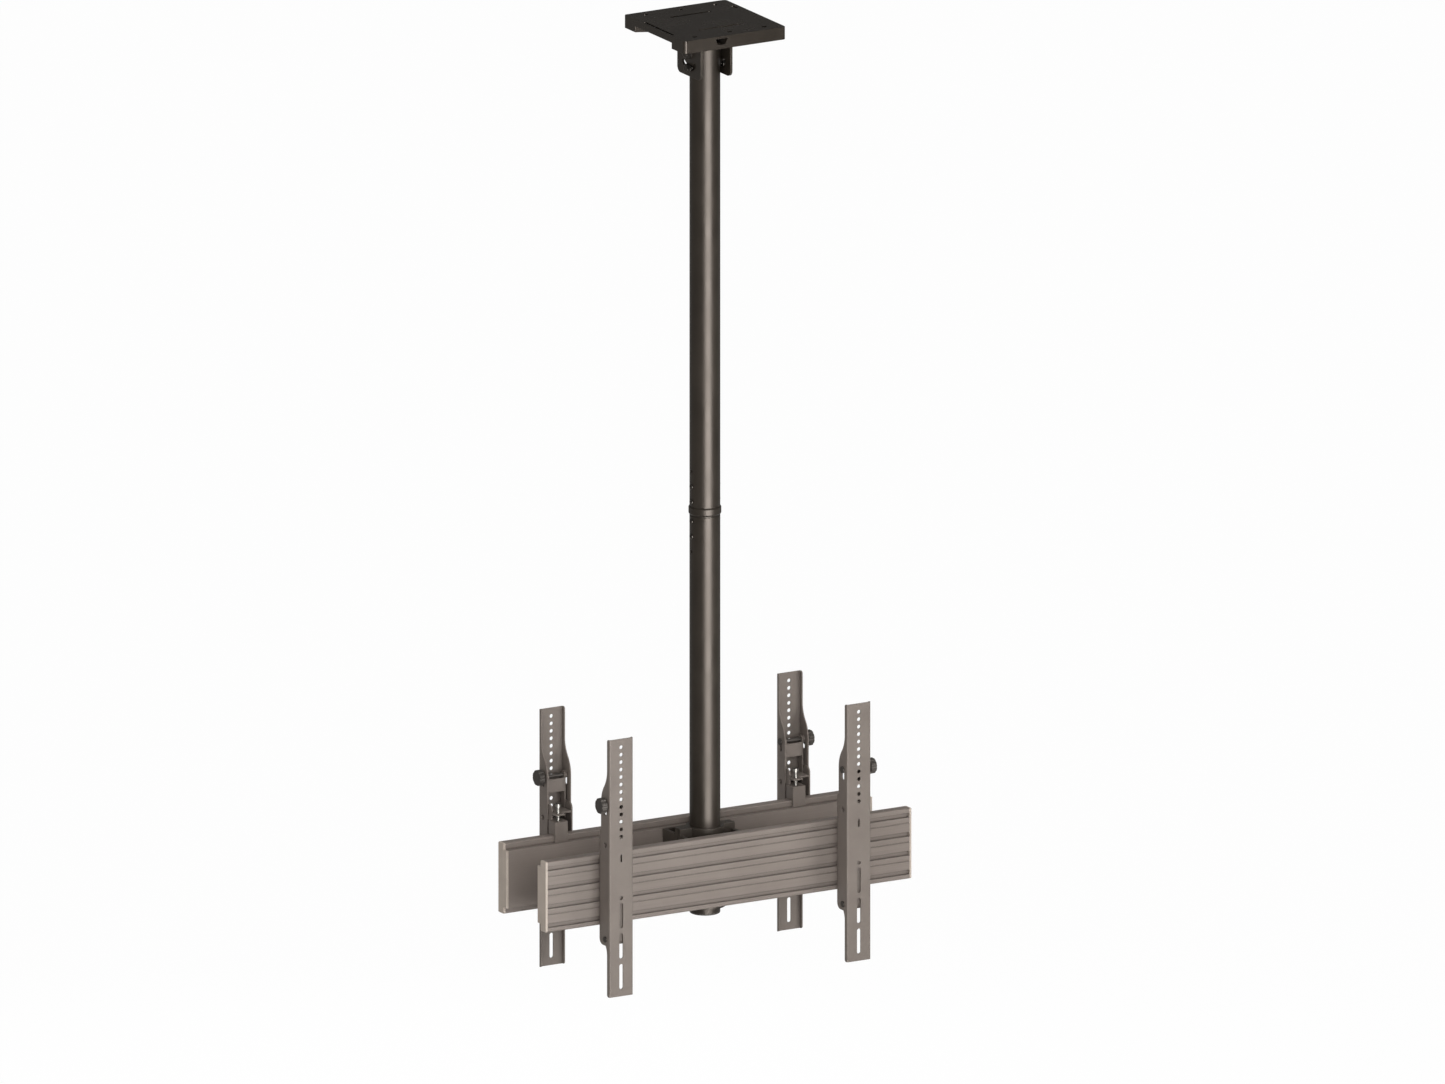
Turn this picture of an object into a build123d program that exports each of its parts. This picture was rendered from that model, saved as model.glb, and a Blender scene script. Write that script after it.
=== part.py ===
from build123d import *
import os

# Double-sided ceiling mount for two screens, in millimetres.
# The origin is the centre of the ceiling plate's top face, +Z is up and the front is -Y.

# Ceiling plate
plate_width = 190.0
plate_depth = 196.0
plate_height = 21.0
plate_wall = 3.0
plate_corner_radius = 5.0
fixing_hole_radius = 4.25
fixing_spacing_x = 130.0
fixing_spacing_y = 160.0
joist_slot_length = 78.0
joist_slot_width = 6.5
joist_slot_spacing = 92.0
edge_slot_length = 18.0
edge_slot_width = 6.0
edge_slot_inset = 10.0
edge_slot_from_middle = 51.0
inlet_width = 118.0
inlet_offset = 2.0
inlet_lip = 11.0
inlet_guide_depth = 27.0
inlet_guide_slant = 12.5
inlet_slot_length = 94.0
inlet_slot_width = 5.0
inlet_slot_offset = -6.0
tab_hole_top = 22.0
tab_hole_bottom = 14.0
tab_hole_height = 10.0
tab_hole_below_top = 4.0
tab_hole_offset = -25.0

# Pole, in two lengths with a sleeve between them
pole_radius = 25.0
pole_wall = 2.5
pole_top = -35.0
joint_level = -819.0
pole_bottom = -1493.0
ring_radius = 26.65
ring_half_height = 8.0
ring_shoulder = 3.0
ring_gap_height = 2.0
ring_gap_depth = 2.5
sleeve_wall = 3.4
sleeve_half_length = 85.0
sleeve_clearance = 0.1
joint_screw_radius = 2.5
joint_screw_head_radius = 4.5
joint_screw_head_height = 2.0
joint_screw_levels = (16.5, 41.7)
joint_spare_level = 67.0
screw_clearance = 0.05
screw_crown_radius = 1.4
screw_socket_radius = 1.4
screw_socket_depth = 1.1

# Tilt bracket with ears, pivot bolt and lock bolt
ear_thickness = 4.0
ear_width = 76.0
ear_bottom = -89.0
ear_corner_radius = 10.0
ear_clearance = 0.7
bracket_fold_radius = 5.0
pivot_level = -50.0
pivot_radius = 5.0
lock_arc_radius = 25.0
lock_radius = 4.0
lock_slot_clearance = 0.5
tilt_limit = 45.0
washer_thickness = 1.6
washer_ratio = 2.0
hex_head_ratio = 1.9
hex_head_height_ratio = 1.3
bolt_end_length = 3.0
running_clearance = 0.05

# Lower end of the pole
end_ring_flange = 3.0
end_ring_rounding = 1.8
end_ring_length = 15.0
end_ring_bore = 14.0
collar_height = 16.0
collar_wall = 9.0
collar_slit = 2.0
collar_screw_radius = 2.5
collar_screw_length = 18.0
collar_screw_head_radius = 4.25
collar_screw_head_height = 5.0

# Rails
rail_length = 684.0
rail_height = 118.0
rail_above_pole_end = 28.5
rail_face = 77.0
rail_front_depth = 17.5
rail_spine_depth = 9.5
rail_spine_inset = 11.0
rail_corner_radius = 2.0
rail_wall = 3.0
groove_pitch = 31.8
groove_width = 8.0
groove_depth = 3.8
line_width = 2.4
line_depth = 0.8
line_below_groove = 13.0
chamber_front_wall = 2.7
cap_thickness = 4.0
cap_plug_length = 10.0
cap_plug_clearance = 0.3
cap_corner_radius = 1.5

# Pole clamp between the rails
clamp_width = 102.0
clamp_plate = 6.0
clamp_ring_wall = 6.0
clamp_flange = 8.0
clamp_gap = 1.5
clamp_rib_offset = 16.0
clamp_rib_width = 5.0
clamp_corner_radius = 3.0
clamp_bolt_radius = 3.0
clamp_bolt_x = 38.0
clamp_bolt_spacing = 70.0
rail_screw_x = 30.0
rail_screw_spacing = 64.0
rail_screw_radius = 3.0
rail_screw_head_radius = 5.5
rail_screw_head_height = 3.5
rail_screw_crown_radius = 2.1
rail_screw_tip_gap = 1.0

# Arms: folded screen strip
arm_from_rail_end = 120.0
strip_width = 44.6
strip_sheet = 2.0
strip_face = 114.0
strip_above_knob = 111.0
strip_below_hinge = 95.0
strip_fold_radius = 2.5
flange_low = 7.5
flange_high = 27.0
flange_upper_bend = 57.0
flange_above_knob = 2.0
flange_lower_bend = 43.0
flange_above_hinge = 17.0
flange_end_radius = 4.0
screen_hole_radius = 3.3
screen_hole_pitch = 12.5
screen_hole_count = 13
screen_hole_from_top = 14.0
level_slot_from_top = 200.0
level_slot_length = 13.0
level_slot_width = 3.0
single_hole_above_slots = 8.5
screen_slot_width = 7.0
screen_slot_length = 42.0
screen_slot_from_bottom = 12.0
screen_slot_pitch = 51.0
screen_slot_count = 3

# Arms: hinge line, stay and knob
hinge_y = 101.0
hinge_below_rail = 18.5
stay_pin_above_rail = 21.5
stay_length = 67.0
pin_radius = 3.0
pin_head_radius = 5.0
pin_head_height = 1.5
pin_head_gap = 0.1
access_hole_radius = 4.5
stay_sheet = 2.0
stay_end_radius = 6.5
stay_bridge_height = 22.0
stay_bridge_below_knob = 4.0
stud_radius = 3.0
stud_slot_clearance = 0.9
stud_slot_travel = 14.0
bush_radius = 6.0
bush_gap = 0.3
knob_radius = 13.0
knob_length = 10.0
knob_edge_radius = 1.2
knob_neck_radius = 8.0
knob_neck_length = 2.0
knob_gap = 0.2
knob_lobes = 8
knob_lobe_depth = 1.4
knob_lobe_radius = 4.0
stud_head_radius = 5.5
stud_head_height = 2.5

# Arms: hook bracket, saddle and levelling screw
bracket_sheet = 2.5
nest_gap = 0.7
bracket_above_stay_pin = 25.0
bracket_below_hinge = 12.0
bracket_web_gap = 1.5
bracket_rail_gap = 0.5
bracket_end_radius = 10.0
bracket_relief_below_pin = 16.0
tongue_width = 26.8
tab_above_stay_pin = 13.0
tab_end_from_screw = 8.25
tab_end_width = 16.0
tab_end_overlap = 5.0
hook_offset = 13.0
tab_window_height = 45.0
saddle_width = 24.0
saddle_thickness = 22.5
saddle_outer_drop = 19.5
saddle_inner_drop = 10.5
saddle_inner_leg = 3.0
saddle_outer_leg = 7.0
saddle_gap = 0.3
saddle_corner_radius = 1.5
level_screw_radius = 3.0
level_screw_reach = 28.0
level_head_radius = 4.8
level_head_height = 5.0
level_socket_depth = 3.0
level_hex_radius = 2.6
level_hex_depth = 2.8

# Values worked out from the sizes above
plate_under = -plate_wall
pole_inner_radius = pole_radius - pole_wall
ear_inner = pole_radius + ear_clearance
ear_outer = ear_inner + ear_thickness
web_under = plate_under - ear_thickness
lock_level = pivot_level - lock_arc_radius
rail_bottom = pole_bottom + rail_above_pole_end
rail_middle = rail_bottom + rail_height / 2
rail_top = rail_bottom + rail_height
rail_step = rail_face - rail_front_depth
rail_back = rail_step - rail_spine_depth
spine_half = rail_height / 2 - rail_spine_inset
profile_half_length = rail_length / 2 - cap_thickness
clamp_bore = pole_radius + running_clearance
arm_x = rail_length / 2 - arm_from_rail_end
strip_half = strip_width / 2
strip_inner_half = strip_half - strip_sheet
strip_web_inner = strip_face - strip_sheet
bracket_half = strip_inner_half - nest_gap
bracket_inner_half = bracket_half - bracket_sheet
bracket_web_outer = strip_web_inner - bracket_web_gap
bracket_web_inner = bracket_web_outer - bracket_sheet
stay_half = bracket_inner_half - nest_gap
stay_inner_half = stay_half - stay_sheet
level_screw_y = (rail_step + rail_face) / 2
tab_end = level_screw_y - tab_end_from_screw
hinge_level = rail_bottom - hinge_below_rail
stay_pin_level = rail_top + stay_pin_above_rail
knob_level = stay_pin_level + stay_length
strip_top = knob_level + strip_above_knob
strip_bottom = hinge_level - strip_below_hinge
flange_upper_end = knob_level + flange_above_knob
flange_upper_start = flange_upper_end + flange_upper_bend
flange_lower_start = hinge_level + flange_above_hinge
flange_lower_end = flange_lower_start - flange_lower_bend
bracket_top = stay_pin_level + bracket_above_stay_pin
bracket_bottom = hinge_level - bracket_below_hinge
bracket_relief_bottom = stay_pin_level - bracket_relief_below_pin
tab_level = stay_pin_level + tab_above_stay_pin
saddle_top = rail_top + saddle_thickness
level_screw_top = saddle_top + level_screw_reach


def box(x_span, y_span, z_span):
    size = [abs(span[1] - span[0]) for span in (x_span, y_span, z_span)]
    middle = [(span[0] + span[1]) / 2 for span in (x_span, y_span, z_span)]
    return Pos(*middle) * Box(*size)


def x_rod(radius, x_start, x_end, y, z):
    rod = Cylinder(radius, x_end - x_start, align=(Align.CENTER, Align.CENTER, Align.MIN))
    return Pos(x_start, y, z) * Rot(0, 90, 0) * rod


def y_rod(radius, y_start, y_end, x, z):
    rod = Cylinder(radius, y_end - y_start, align=(Align.CENTER, Align.CENTER, Align.MIN))
    return Pos(x, y_start, z) * Rot(-90, 0, 0) * rod


def z_rod(radius, z_start, z_end, x=0.0, y=0.0):
    rod = Cylinder(radius, z_end - z_start, align=(Align.CENTER, Align.CENTER, Align.MIN))
    return Pos(x, y, z_start) * rod


def x_prism(sketch, x_start, x_end, y=0.0, z=0.0):
    start = Plane(origin=(x_start, y, z), x_dir=(0, 1, 0), z_dir=(1, 0, 0))
    return extrude(start * sketch, x_end - x_start, dir=(1, 0, 0))


def x_hexagon(corner_radius, x_start, x_end, y, z):
    return x_prism(RegularPolygon(corner_radius, 6), x_start, x_end, y, z)


def y_hexagon(corner_radius, y_start, y_end, x, z):
    start = Plane(origin=(x, y_start, z), x_dir=(1, 0, 0), z_dir=(0, 1, 0))
    return extrude(start * RegularPolygon(corner_radius, 6), y_end - y_start, dir=(0, 1, 0))


def make_ceiling_plate():
    outline = RectangleRounded(plate_width, plate_depth, plate_corner_radius)
    inside = RectangleRounded(
        plate_width - 2 * plate_wall,
        plate_depth - 2 * plate_wall,
        plate_corner_radius - plate_wall,
    )
    tray = extrude(outline, -plate_height)
    tray -= Pos(0, 0, plate_under) * extrude(inside, plate_under - plate_height)

    # Cable inlet at the -X side: the skirt is open under a lip, between two guide walls
    skirt_x = -plate_width / 2
    inlet_front = inlet_offset - inlet_width / 2
    inlet_back = inlet_offset + inlet_width / 2
    inlet_levels = (-plate_height - plate_wall, -inlet_lip)
    tray -= box((skirt_x - plate_wall, skirt_x + plate_wall), (inlet_front, inlet_back), inlet_levels)
    for edge_y, slant in ((inlet_front, inlet_guide_slant), (inlet_back, -inlet_guide_slant)):
        thick = plate_wall if edge_y == inlet_back else -plate_wall
        guide = Polygon(
            (skirt_x, edge_y),
            (skirt_x + inlet_guide_depth, edge_y + slant),
            (skirt_x + inlet_guide_depth, edge_y + slant + thick),
            (skirt_x, edge_y + thick),
            align=None,
        )
        tray += extrude(guide, plate_height, dir=(0, 0, -1))
    inlet_slot = SlotOverall(inlet_slot_length, inlet_slot_width, rotation=90)
    slot_x = skirt_x + plate_wall + inlet_slot_width / 2
    cuts = [Pos(slot_x, inlet_slot_offset) * inlet_slot]

    # Fixing holes at the corners and at the middle of the front and back edges
    for x in (-fixing_spacing_x / 2, 0, fixing_spacing_x / 2):
        for y in (-fixing_spacing_y / 2, fixing_spacing_y / 2):
            cuts.append(Pos(x, y) * Circle(fixing_hole_radius))
    for y in (-joist_slot_spacing / 2, joist_slot_spacing / 2):
        cuts.append(Pos(0, y) * SlotOverall(joist_slot_length, joist_slot_width))
    edge_slot = SlotOverall(edge_slot_length, edge_slot_width, rotation=90)
    cuts.append(Pos(plate_width / 2 - edge_slot_inset, edge_slot_from_middle) * edge_slot)
    for cut in cuts:
        tray -= Pos(0, 0, plate_under) * extrude(cut, plate_wall)

    # Small tapered window in the front skirt
    tab_hole = Polygon(
        (-tab_hole_top / 2, 0),
        (-tab_hole_bottom / 2, -tab_hole_height),
        (tab_hole_bottom / 2, -tab_hole_height),
        (tab_hole_top / 2, 0),
        align=None,
    )
    front = Plane(
        origin=(tab_hole_offset, -plate_depth / 2, -tab_hole_below_top),
        x_dir=(1, 0, 0),
        z_dir=(0, -1, 0),
    )
    tray -= extrude(front * tab_hole, plate_wall, dir=(0, 1, 0))
    return tray


def make_tilt_bracket():
    outline = Polygon(
        (-ear_width / 2, plate_under),
        (ear_width / 2, plate_under),
        (ear_width / 2, ear_bottom),
        (-ear_width / 2, ear_bottom),
        align=None,
    )
    lower_corners = outline.vertices().sort_by(Axis.Y)[:2]
    outline = fillet(lower_corners, ear_corner_radius)
    bracket = x_prism(outline, -ear_outer, ear_outer)
    bracket -= box((-ear_inner, ear_inner), (-ear_width, ear_width), (ear_bottom, web_under))
    folds = bracket.edges().filter_by(Axis.Y).group_by(Axis.Z)[-1]
    bracket = fillet(folds, bracket_fold_radius)
    bracket -= x_rod(pivot_radius + running_clearance, -ear_outer, ear_outer, 0, pivot_level)
    arc = CenterArc((0, 0), lock_arc_radius, -90 - tilt_limit, 2 * tilt_limit)
    slot = SlotArc(arc, 2 * (lock_radius + lock_slot_clearance))
    bracket -= x_prism(slot, -ear_outer, ear_outer, 0, pivot_level)
    return bracket


def make_cross_bolt(radius, level, gap):
    washer_start = ear_outer + gap
    washer_end = washer_start + washer_thickness
    head_end = washer_end + radius * hex_head_height_ratio
    tip = head_end + bolt_end_length
    hexagon = radius * hex_head_ratio
    bolt = x_rod(radius, -head_end, tip, 0, level)
    bolt += x_hexagon(hexagon, -head_end, -washer_end, 0, level)
    nut = x_hexagon(hexagon, washer_end, head_end, 0, level)
    nut -= x_rod(radius + running_clearance, washer_end, head_end, 0, level)
    washers = []
    for start in (-washer_end, washer_start):
        washer = x_rod(radius * washer_ratio, start, start + washer_thickness, 0, level)
        washer -= x_rod(radius + running_clearance, start, start + washer_thickness, 0, level)
        washers.append(washer)
    return bolt, [nut] + washers


def joint_holes():
    levels = list(joint_screw_levels) + [joint_spare_level]
    radius = joint_screw_radius + screw_clearance
    holes = []
    for level in levels:
        for z in (joint_level + level, joint_level - level):
            holes.append(x_rod(radius, -ring_radius, ring_radius, 0, z))
    return holes


def make_pole(z_low, z_high):
    tube = z_rod(pole_radius, z_low, z_high) - z_rod(pole_inner_radius, z_low, z_high)
    for hole in joint_holes():
        tube -= hole
    return tube


def make_upper_pole():
    pole = make_pole(joint_level + ring_half_height, pole_top)
    for radius, level in ((pivot_radius, pivot_level), (lock_radius, lock_level)):
        pole -= x_rod(radius + running_clearance, -pole_radius, pole_radius, 0, level)
    return pole


def make_joint_sleeve():
    outer = pole_inner_radius - sleeve_clearance
    ring_top = joint_level + ring_half_height
    ring_bottom = joint_level - ring_half_height
    ring = z_rod(ring_radius, ring_bottom + ring_gap_height, ring_top)
    shoulders = ring.edges().filter_by(GeomType.CIRCLE)
    ring = fillet(shoulders, ring_shoulder)
    ring += z_rod(ring_radius - ring_gap_depth, ring_bottom, ring_bottom + ring_gap_height)
    sleeve = z_rod(outer, joint_level - sleeve_half_length, joint_level + sleeve_half_length) + ring
    bore = outer - sleeve_wall
    sleeve -= z_rod(bore, joint_level - sleeve_half_length, joint_level + sleeve_half_length)
    for hole in joint_holes():
        sleeve -= hole
    return sleeve


def make_joint_screws():
    tip = pole_inner_radius - sleeve_clearance - sleeve_wall
    head_end = pole_radius + joint_screw_head_height
    screw = x_rod(joint_screw_radius, tip, pole_radius, 0, 0)
    head = x_rod(joint_screw_head_radius, pole_radius, head_end, 0, 0)
    crown = head.edges().filter_by(GeomType.CIRCLE).sort_by(Axis.X)[-1]
    screw += fillet(crown, screw_crown_radius)
    screw -= x_hexagon(screw_socket_radius, head_end - screw_socket_depth, head_end, 0, 0)
    screws = []
    for level in joint_screw_levels:
        for z in (joint_level + level, joint_level - level):
            for turn in (0, 180):
                screws.append(Pos(0, 0, z) * Rot(0, 0, turn) * screw)
    return screws


def make_end_ring():
    flange_top = pole_bottom + end_ring_flange
    ring = z_rod(pole_radius, pole_bottom, flange_top)
    ring = fillet(ring.edges().filter_by(GeomType.CIRCLE).sort_by(Axis.Z)[0], end_ring_rounding)
    ring += z_rod(pole_inner_radius - sleeve_clearance, flange_top, flange_top + end_ring_length)
    ring -= z_rod(end_ring_bore, pole_bottom, flange_top + end_ring_length)
    return ring


def make_collar():
    top = rail_bottom - running_clearance
    bottom = top - collar_height
    outer = pole_radius + collar_wall
    collar = z_rod(outer, bottom, top) - z_rod(clamp_bore, bottom, top)
    collar -= box((-outer, 0), (-collar_slit / 2, collar_slit / 2), (bottom, top))
    screw_x = -(pole_radius + collar_wall / 2)
    screw_z = (top + bottom) / 2
    half = collar_screw_length / 2
    collar -= y_rod(collar_screw_radius + screw_clearance, -outer, outer, screw_x, screw_z)
    collar -= y_rod(collar_screw_head_radius + screw_clearance, -outer, -half, screw_x, screw_z)
    screw = y_rod(collar_screw_radius, -half, half, screw_x, screw_z)
    screw += y_rod(collar_screw_head_radius, -half - collar_screw_head_height, -half, screw_x, screw_z)
    return collar, screw


def rail_outline(with_grooves):
    front = RectangleRounded(rail_front_depth, rail_height, rail_corner_radius)
    front = Pos((rail_step + rail_face) / 2, 0) * front
    spine = Pos((rail_back + rail_step) / 2, 0) * Rectangle(rail_spine_depth, 2 * spine_half)
    outline = front + spine
    if not with_grooves:
        return outline
    for level in groove_levels():
        outline -= Pos(rail_face - groove_depth / 2, level) * Rectangle(groove_depth, groove_width)
        line_level = level - line_below_groove
        if line_level - line_width > -rail_height / 2:
            outline -= Pos(rail_face, line_level) * Rectangle(2 * line_depth, line_width)
    return outline


def groove_levels():
    return [groove_pitch * step for step in (-1.5, -0.5, 0.5, 1.5)]


def rail_chambers(clearance):
    y_low = rail_back + rail_wall + clearance
    y_high = rail_face - groove_depth - chamber_front_wall - clearance
    wall = rail_wall / 2 + clearance
    inner_web = groove_pitch / 2
    edges = (-spine_half + rail_wall / 2, -inner_web, inner_web, spine_half - rail_wall / 2)
    chambers = []
    for low, high in zip(edges[:-1], edges[1:]):
        size = Rectangle(y_high - y_low, high - low - 2 * wall)
        chambers.append(Pos((y_low + y_high) / 2, (low + high) / 2) * size)
    return chambers


def make_rail():
    section = rail_outline(True)
    for chamber in rail_chambers(0.0):
        section -= chamber
    rail = x_prism(section, -profile_half_length, profile_half_length, 0, rail_middle)
    for x, z in rail_screw_places():
        hole = rail_screw_radius + screw_clearance
        rail -= y_rod(hole, rail_back, rail_back + rail_wall, x, z)
    return rail


def make_end_cap():
    inner_face = profile_half_length
    outer_face = rail_length / 2
    cap = x_prism(rail_outline(False), inner_face, outer_face, 0, rail_middle)
    rim = cap.faces().sort_by(Axis.X)[-1].edges()
    cap = fillet(rim, cap_corner_radius)
    for chamber in rail_chambers(cap_plug_clearance):
        cap += x_prism(chamber, inner_face - cap_plug_length, inner_face, 0, rail_middle)
    return cap


def rail_screw_places():
    half = rail_screw_spacing / 2
    places = []
    for x in (-rail_screw_x, rail_screw_x):
        for z in (rail_middle - half, rail_middle + half):
            places.append((x, z))
    return places


def clamp_bolt_places():
    half = clamp_bolt_spacing / 2
    places = []
    for x in (-clamp_bolt_x, clamp_bolt_x):
        for z in (rail_middle - half, rail_middle + half):
            places.append((x, z))
    return places


def make_clamp_half():
    half_width = clamp_width / 2
    split = clamp_gap / 2
    depth = rail_back - split
    section = Pos(0, split + depth / 2) * Rectangle(clamp_width, depth)
    inner_width = clamp_width - 2 * clamp_plate
    pocket_low = split + clamp_flange
    pocket_high = rail_back - clamp_plate
    pocket = Pos(0, (pocket_low + pocket_high) / 2) * Rectangle(inner_width, pocket_high - pocket_low)
    ribs = Circle(clamp_bore + clamp_ring_wall)
    for x in (-clamp_rib_offset, clamp_rib_offset):
        ribs += Pos(x, pocket_high / 2) * Rectangle(clamp_rib_width, pocket_high)
    walls = section - (pocket - ribs) - Circle(clamp_bore)

    # The ring and the bolt flanges are as high as the rail, the walls as high as its spine
    grip = section & Circle(clamp_bore + clamp_ring_wall)
    grip += Pos(0, (split + pocket_low) / 2) * Rectangle(clamp_width, clamp_flange)
    grip -= Circle(clamp_bore)
    half = Pos(0, 0, rail_middle - spine_half) * extrude(walls, 2 * spine_half)
    half += Pos(0, 0, rail_bottom) * extrude(grip, rail_height)
    sides = [edge for edge in half.edges().filter_by(Axis.Z) if abs(edge.center().X) > half_width - split]
    rows = ShapeList(sides).group_by(Axis.Y)
    half = fillet(rows[0] + rows[-1], clamp_corner_radius)
    for x, z in clamp_bolt_places():
        half -= y_rod(clamp_bolt_radius + screw_clearance, split, pocket_low, x, z)
    for x, z in rail_screw_places():
        half -= y_rod(rail_screw_radius + screw_clearance, pocket_high, rail_back, x, z)
    return half


def make_clamp_bolts():
    head = clamp_bolt_radius * hex_head_height_ratio
    hexagon = clamp_bolt_radius * hex_head_ratio
    face = clamp_gap / 2 + clamp_flange
    bolts = []
    nuts = []
    for x, z in clamp_bolt_places():
        bolt = y_rod(clamp_bolt_radius, -face, face + head + bolt_end_length, x, z)
        bolts.append(bolt + y_hexagon(hexagon, -face - head, -face, x, z))
        nut = y_hexagon(hexagon, face, face + head, x, z)
        nuts.append(nut - y_rod(clamp_bolt_radius + screw_clearance, face, face + head, x, z))
    return bolts, nuts


def make_rail_screws():
    seat = rail_back - clamp_plate
    screws = []
    for x, z in rail_screw_places():
        screw = y_rod(rail_screw_radius, seat, rail_back + rail_wall + rail_screw_tip_gap, x, z)
        head = y_rod(rail_screw_head_radius, seat - rail_screw_head_height, seat, x, z)
        crown = head.edges().filter_by(GeomType.CIRCLE).sort_by(Axis.Y)[0]
        screws.append(screw + fillet(crown, rail_screw_crown_radius))
    return screws + [mirror(screw, about=Plane.XZ) for screw in screws]


def s_bend(start, end):
    middle = ((start[0] + end[0]) / 2, (start[1] + end[1]) / 2)
    first = TangentArc(start, middle, tangent=(0, -1))
    second = TangentArc(middle, end, tangent=first % 1)
    return [first, second]


def make_strip():
    low = strip_face - flange_low
    high = strip_face - flange_high
    edges = [
        Polyline((low, strip_bottom), (strip_face, strip_bottom), (strip_face, strip_top), (low, strip_top)),
        Line((low, strip_top), (low, flange_upper_start)),
        *s_bend((low, flange_upper_start), (high, flange_upper_end)),
        Line((high, flange_upper_end), (high, flange_lower_start)),
        *s_bend((high, flange_lower_start), (low, flange_lower_end)),
        Line((low, flange_lower_end), (low, strip_bottom)),
    ]
    outline = make_face(edges)
    rows = outline.vertices().group_by(Axis.Y)
    ends = [row.sort_by(Axis.X)[0] for row in (rows[0], rows[-1])]
    outline = fillet(ends, flange_end_radius)
    strip = x_prism(outline, -strip_half, strip_half)
    folds = strip.edges().filter_by(Axis.Z).group_by(Axis.Y)[-1]
    strip = fillet(folds, strip_fold_radius)
    strip -= box((-strip_inner_half, strip_inner_half), (0, strip_web_inner), (strip_bottom, strip_top))

    # Screen fixings in the web
    levels = [strip_top - screen_hole_from_top - step * screen_hole_pitch for step in range(screen_hole_count)]
    lowest_slot = strip_bottom + screen_slot_from_bottom + screen_slot_length / 2
    highest_slot = lowest_slot + (screen_slot_count - 1) * screen_slot_pitch
    single_hole_level = highest_slot + screen_slot_length / 2 + single_hole_above_slots
    for level in levels + [single_hole_level]:
        strip -= y_rod(screen_hole_radius, strip_web_inner, strip_face, 0, level)
    slots = [(strip_top - level_slot_from_top, level_slot_length, level_slot_width)]
    for step in range(screen_slot_count):
        slots.append((lowest_slot + step * screen_slot_pitch, screen_slot_length, screen_slot_width))
    for centre, length, width in slots:
        start = Plane(origin=(0, strip_web_inner, centre), x_dir=(0, 0, 1), z_dir=(0, 1, 0))
        strip -= extrude(start * SlotOverall(length, width), strip_sheet)

    # Hinge holes, holes for driving the stay pin and slots for the knob's stud in both flanges
    strip -= x_rod(pin_radius + running_clearance, -strip_half, strip_half, hinge_y, hinge_level)
    strip -= x_rod(access_hole_radius, -strip_half, strip_half, hinge_y, stay_pin_level)
    stud_slot = SlotCenterToCenter(stud_slot_travel, 2 * (stud_radius + stud_slot_clearance), rotation=90)
    slot_level = knob_level - stud_slot_travel / 2 + stud_slot_clearance
    strip -= x_prism(stud_slot, -strip_half, strip_half, hinge_y, slot_level)
    return strip


def make_hook_bracket(hook_x):
    rail_side = rail_face + bracket_rail_gap
    outline = Polygon(
        (rail_side, bracket_bottom),
        (bracket_web_outer, bracket_bottom),
        (bracket_web_outer, bracket_top),
        (rail_side, bracket_top),
        align=None,
    )
    rail_corners = outline.vertices().sort_by(Axis.X)[:2]
    lower_corners = outline.vertices().sort_by(Axis.Y)[:2]
    corners = rail_corners + [corner for corner in lower_corners if corner not in rail_corners]
    outline = fillet(corners, bracket_end_radius)
    bracket = x_prism(outline, -bracket_half, bracket_half)
    inner = (-bracket_inner_half, bracket_inner_half)
    bracket -= box(inner, (0, bracket_web_inner), (bracket_bottom, bracket_top))

    # The web ends in a tongue between two reliefs, and the tongue is folded into a tab
    web = (bracket_web_inner, bracket_web_outer)
    tongue = tongue_width / 2
    bracket -= box(inner, web, (bracket_relief_bottom, bracket_top))
    bracket += box((-tongue, tongue), web, (bracket_relief_bottom, tab_level))
    tab_span = (tab_level - bracket_sheet, tab_level)
    bracket += box((-tongue, tongue), (rail_face - tab_end_overlap, bracket_web_outer), tab_span)
    tab_half = tab_end_width / 2
    bracket += box((hook_x - tab_half, hook_x + tab_half), (tab_end, rail_face), tab_span)
    window_top = bracket_relief_bottom
    bracket -= box((-tongue, tongue), web, (window_top - tab_window_height, window_top - bracket_sheet))
    bracket -= z_rod(level_screw_radius + running_clearance, *tab_span, hook_x, level_screw_y)
    for level in (hinge_level, stay_pin_level):
        bracket -= x_rod(pin_radius + running_clearance, -bracket_half, bracket_half, hinge_y, level)
    return bracket


def make_saddle(hook_x):
    inner = rail_step - saddle_gap
    outer = rail_face + saddle_gap
    seat = rail_top + running_clearance
    half = saddle_width / 2
    outline = Polygon(
        (inner - saddle_inner_leg, saddle_top),
        (outer, saddle_top),
        (outer, seat),
        (inner, seat),
        (inner, rail_top - saddle_inner_drop),
        (inner - saddle_inner_leg, rail_top - saddle_inner_drop),
        align=None,
    )
    saddle = x_prism(outline, hook_x - half, hook_x + half)
    corners = saddle.edges().filter_by(Axis.Z).group_by(Axis.Y)[0]
    saddle = fillet(corners, saddle_corner_radius)

    # The outer leg hangs between the bracket's flanges
    room = bracket_inner_half - nest_gap
    leg_span = (max(hook_x - half, -room), min(hook_x + half, room))
    saddle += box(leg_span, (outer, outer + saddle_outer_leg), (rail_top - saddle_outer_drop, saddle_top))
    socket = (saddle_top - level_socket_depth, saddle_top)
    saddle -= z_rod(level_screw_radius + running_clearance, *socket, hook_x, level_screw_y)
    return saddle


def make_level_screw(hook_x):
    tip = saddle_top - level_socket_depth + running_clearance
    head_under = level_screw_top - level_head_height
    screw = z_rod(level_screw_radius, tip, head_under, hook_x, level_screw_y)
    screw += z_rod(level_head_radius, head_under, level_screw_top, hook_x, level_screw_y)
    socket = extrude(RegularPolygon(level_hex_radius, 6), level_hex_depth)
    screw -= Pos(hook_x, level_screw_y, level_screw_top - level_hex_depth) * socket
    return screw


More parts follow.
